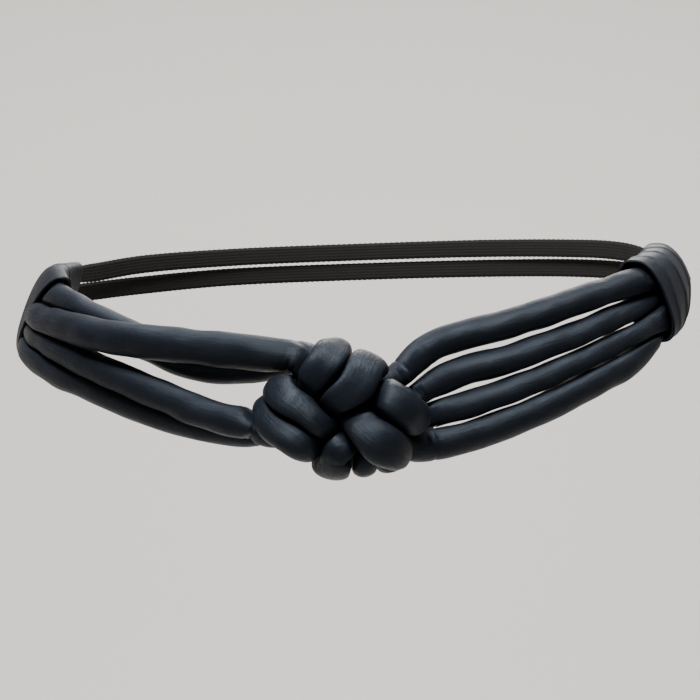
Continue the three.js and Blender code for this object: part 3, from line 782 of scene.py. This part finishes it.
# ---------------------------------------------------------------- the pieces
def ring_measure(points):
    """Each ring's distance round from its first corner, back to that corner."""
    steps = np.linalg.norm(np.roll(points, -1, axis=1) - points, axis=2)
    return np.concatenate([np.zeros((len(points), 1)), np.cumsum(steps, axis=1)], axis=1)


WRAP_SIDES = 168
WRAP_RINGS = 90
WRAP_SHELL = 1.2  # the satin and what it is folded over
FOLD_RISE, FOLD_FALL = 0.9, 6  # half of a fold's rise to its edge, and its fall behind it
FOLD_WANDER, FOLD_WAVES = 0.012, 3  # how far its edge wanders, and in how many waves round
FOLD_AHEAD = 2  # radians that its waves are ahead of the last fold's


def section_points(section, turn, proud):
    """Points round a wrap's section: a box with round ends, as tall as its cords are stacked."""
    angle, height, out, half_height, half_depth, lean, tuck = np.moveaxis(section, -1, 0)

    def squared(value):
        return np.sign(value) * np.abs(value) ** (2 / WRAP_SQUARE)

    up, away = squared(np.cos(turn)), squared(np.sin(turn))
    leant = np.radians(angle + lean * up)
    middle = out - tuck * np.maximum(-up, 0)
    height = height + (half_height + proud) * up
    return hip_point(leant, height, middle + (half_depth + proud) * away)


def fold_relief(wrap, share, turn, length):
    """How far the wrap's folds stand proud: each has a soft edge and falls away behind it."""
    low = (1 - np.cos(turn)) / 2
    relief = np.zeros(np.broadcast_shapes(share.shape, turn.shape))
    for k, (top, bottom, height) in enumerate(wrap["folds"]):
        wander = FOLD_WANDER * np.sin(FOLD_WAVES * turn + FOLD_AHEAD * k)
        off = (share - (top + (bottom - top) * low + wander)) * length
        fall = np.exp(-np.maximum(off, 0) / FOLD_FALL)
        relief += height * smoothstep(off, -FOLD_RISE, FOLD_RISE) * fall
    return relief


def turn_grain(obj):
    """Turn the cloth coordinates a quarter, so that the threads run round the wrap."""
    layer = obj.data.uv_layers["cloth"]
    uv = np.empty(2 * len(layer.data))
    layer.data.foreach_get("uv", uv)
    layer.data.foreach_set("uv", uv.reshape(-1, 2)[:, ::-1].reshape(-1))


def make_wrap(wrap):
    """A wrap's satin, with its length along its top and the mean distance round it."""
    share = np.linspace(0, 1, WRAP_RINGS)[:, None]
    turn = turns(WRAP_SIDES)[None]
    first, last = wrap["rows"][0][0], wrap["rows"][-1][0]
    section = wrap_section(wrap, first + share * (last - first))
    top = section_points(section, np.zeros((1, 1)), 0)[:, 0]
    length = distances(top)[-1]
    outer = section_points(section, turn, fold_relief(wrap, share, turn, length))
    inner = section_points(section, turn, -WRAP_SHELL)
    rings = np.concatenate([outer, inner[::-1]])
    obj = grid_mesh(wrap["name"] + "_satin", rings, ring_measure(rings), closed=True)
    turn_grain(obj)
    return obj, length, ring_measure(outer)[:, -1].mean()


STRAP_STEP = 0.45
STRAP_RIBS, RIB_POINTS = 6, 4  # lengthwise ribs on each face, and the points across each
RIB_DEPTH = 0.18
ROW_GAP = 1.35  # spacing of the rows of loops across it
ROW_DEPTH = 0.16
ROW_FADE = 6  # how close to the edges the rows run
SCALLOP = 0.12  # how far its edge waves
EDGE_LOSS, EDGE_FADE = 0.75, 8  # the share of its thickness lost at its edges, and how suddenly


def make_strap(strap):
    """A strap's knit, with two ribbed faces, and its length."""
    centre = evenly(on_hips(strap["rows"]), STRAP_STEP)
    count = len(centre)
    ahead = centre[np.minimum(np.arange(count) + 1, count - 1)]
    behind = centre[np.maximum(np.arange(count) - 1, 0)]
    tangent = unit(ahead - behind)
    away = np.stack(
        [centre[:, 0] / HALF_WIDTH**2, centre[:, 1] / HALF_DEPTH**2, np.zeros(count)], axis=1
    )
    away = unit(away - tangent * dot(away, tangent)[:, None])
    up = np.cross(tangent, away)
    up *= np.where(up[:, 2:] < 0, -1, 1)
    at = np.arange(count) * STRAP_STEP
    from_end = np.minimum(at, at[-1] - at)
    opened = smoothstep(from_end, *STRAP_END)
    half = STRAP_HEIGHT / 2 * (STRAP_END_SHARE + (1 - STRAP_END_SHARE) * opened)
    half = half + SCALLOP * np.sin(2 * np.pi * at / (2 * ROW_GAP))
    across = np.linspace(-1, 1, RIB_POINTS * STRAP_RIBS + 1)
    thick = STRAP_THICK / 2 * (1 - EDGE_LOSS * np.abs(across) ** EDGE_FADE)
    rib = RIB_DEPTH * (np.cos(np.pi * STRAP_RIBS * (across + 1)) - 1) / 2
    row = ROW_DEPTH * (np.cos(2 * np.pi * at / ROW_GAP) - 1) / 2
    depth = thick + rib + row[:, None] * (1 - np.abs(across) ** ROW_FADE)
    flat = centre[:, None] + up[:, None] * (half[:, None] * across)[..., None]
    raised = away[:, None] * depth[..., None]
    points = np.concatenate([flat + raised, (flat - raised)[:, ::-1]], axis=1)
    return grid_mesh(strap["name"] + "_knit", points, ring_measure(points)), at[-1]


# ---------------------------------------------------------------- the belt
def dress(obj, material, node):
    """Puts a piece in the place of its CAD solid."""
    obj.data.materials.append(material)
    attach(obj, "root")
    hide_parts(node)


SATIN = satin()
ELASTIC = elastic()

lines, widths, sites = settled_cords()
for index, cord in enumerate(CORDS):
    points = cord_points(index, lines, widths, sites)
    piece = grid_mesh(cord["name"] + "_satin", points, ring_measure(points))
    dress(piece, SATIN, cord["name"])

for wrap in WRAPS:
    piece, length, round_it = make_wrap(wrap)
    dress(piece, SATIN, wrap["name"])

for strap in STRAPS:
    piece, length = make_strap(strap)
    dress(piece, ELASTIC, strap["name"])


# ---------------------------------------------------------------- floor, light and camera
FLOOR_Z = -0.9
FLOOR_RADIUS, WALL_RADIUS, WALL_TOP = 2.2, 1.1, 2.6
FLOOR_MIDDLE = 0.02  # the radius of its middle face
FLOOR_SIDES, FLOOR_RINGS = 96, 20
FLOOR_COLOUR = (0.5, 0.482, 0.46)


def make_backdrop():
    """A round pale floor that curves up into a low wall."""
    profile = [(FLOOR_MIDDLE, 0.0), (FLOOR_RADIUS, 0.0)]
    for k in range(1, FLOOR_RINGS + 1):
        bend = math.pi / 2 * k / FLOOR_RINGS
        radius = FLOOR_RADIUS + WALL_RADIUS * math.sin(bend)
        profile.append((radius, WALL_RADIUS * (1 - math.cos(bend))))
    profile.append((FLOOR_RADIUS + WALL_RADIUS, WALL_TOP))
    vertices, faces = [], []
    for radius, height in profile:
        for side in range(FLOOR_SIDES):
            turn = 2 * math.pi * side / FLOOR_SIDES
            vertices.append((radius * math.cos(turn), radius * math.sin(turn), FLOOR_Z + height))
    for ring in range(len(profile) - 1):
        for side in range(FLOOR_SIDES):
            a, b = ring * FLOOR_SIDES + side, ring * FLOOR_SIDES + (side + 1) % FLOOR_SIDES
            faces.append((a, b, b + FLOOR_SIDES, a + FLOOR_SIDES))
    faces.append(tuple(reversed(range(FLOOR_SIDES))))
    mesh = bpy.data.meshes.new("backdrop")
    mesh.from_pydata(vertices, [], faces)
    mesh.shade_smooth()
    backdrop = add_object("backdrop", mesh)
    material, _ = shader("pale floor", FLOOR_COLOUR, 0.9, specular=0.05)
    mesh.materials.append(material)


# The disc lights, as rows of (name, place, aim, size, power in watts, colour).
LIGHTS = [
    ("key", (-0.3, -0.6, 1.5), (0, -0.08, -0.03), 0.62, 124, (0.97, 0.98, 1)),
    ("top", (0.2, 0.15, 1.5), (0, 0, 0), 0.7, 34, (0.95, 0.97, 1)),
    ("wall", (0, 0.7, -0.1), (0, 3, 0.4), 1.2, 100, (1, 0.97, 0.93)),
    ("behind", (0.2, 1.5, 1.1), (0, 0, 0), 0.6, 24, (1, 0.98, 0.95)),
]
WORLD_COLOUR, WORLD_STRENGTH = (0.9, 0.93, 1), 0.3


def make_light(name, place, aim, size, power, colour):
    lamp = bpy.data.lights.new(name, "AREA")
    lamp.shape = "DISK"
    lamp.size = size
    lamp.energy = power
    lamp.color = colour
    obj = add_object(name, lamp)
    obj.location = place
    obj.rotation_mode = "QUATERNION"
    obj.rotation_quaternion = (Vector(aim) - Vector(place)).to_track_quat("-Z", "Y")


make_backdrop()
for row in LIGHTS:
    make_light(*row)

world = bpy.data.worlds.new("studio")
world.use_nodes = True
background = world.node_tree.nodes["Background"]
background.inputs["Color"].default_value = (*WORLD_COLOUR, 1)
background.inputs["Strength"].default_value = WORLD_STRENGTH
bpy.context.scene.world = world

# The photo's camera: its distance, its tilt and turn, and its lens and sensor in millimetres.
CAMERA_BACK = 0.75
CAMERA_PITCH, CAMERA_YAW = math.radians(1.743), math.radians(0.227)
LENS, SENSOR_WIDTH = 84.5, 36
NEAREST = 0.01
camera = add_object("camera", bpy.data.cameras.new("camera"))
camera.data.lens = LENS
camera.data.sensor_width = SENSOR_WIDTH
camera.data.clip_start = NEAREST
camera.location = (0, -CAMERA_BACK, 0)
camera.rotation_euler = (math.pi / 2 - CAMERA_PITCH, 0, CAMERA_YAW)
bpy.context.scene.camera = camera
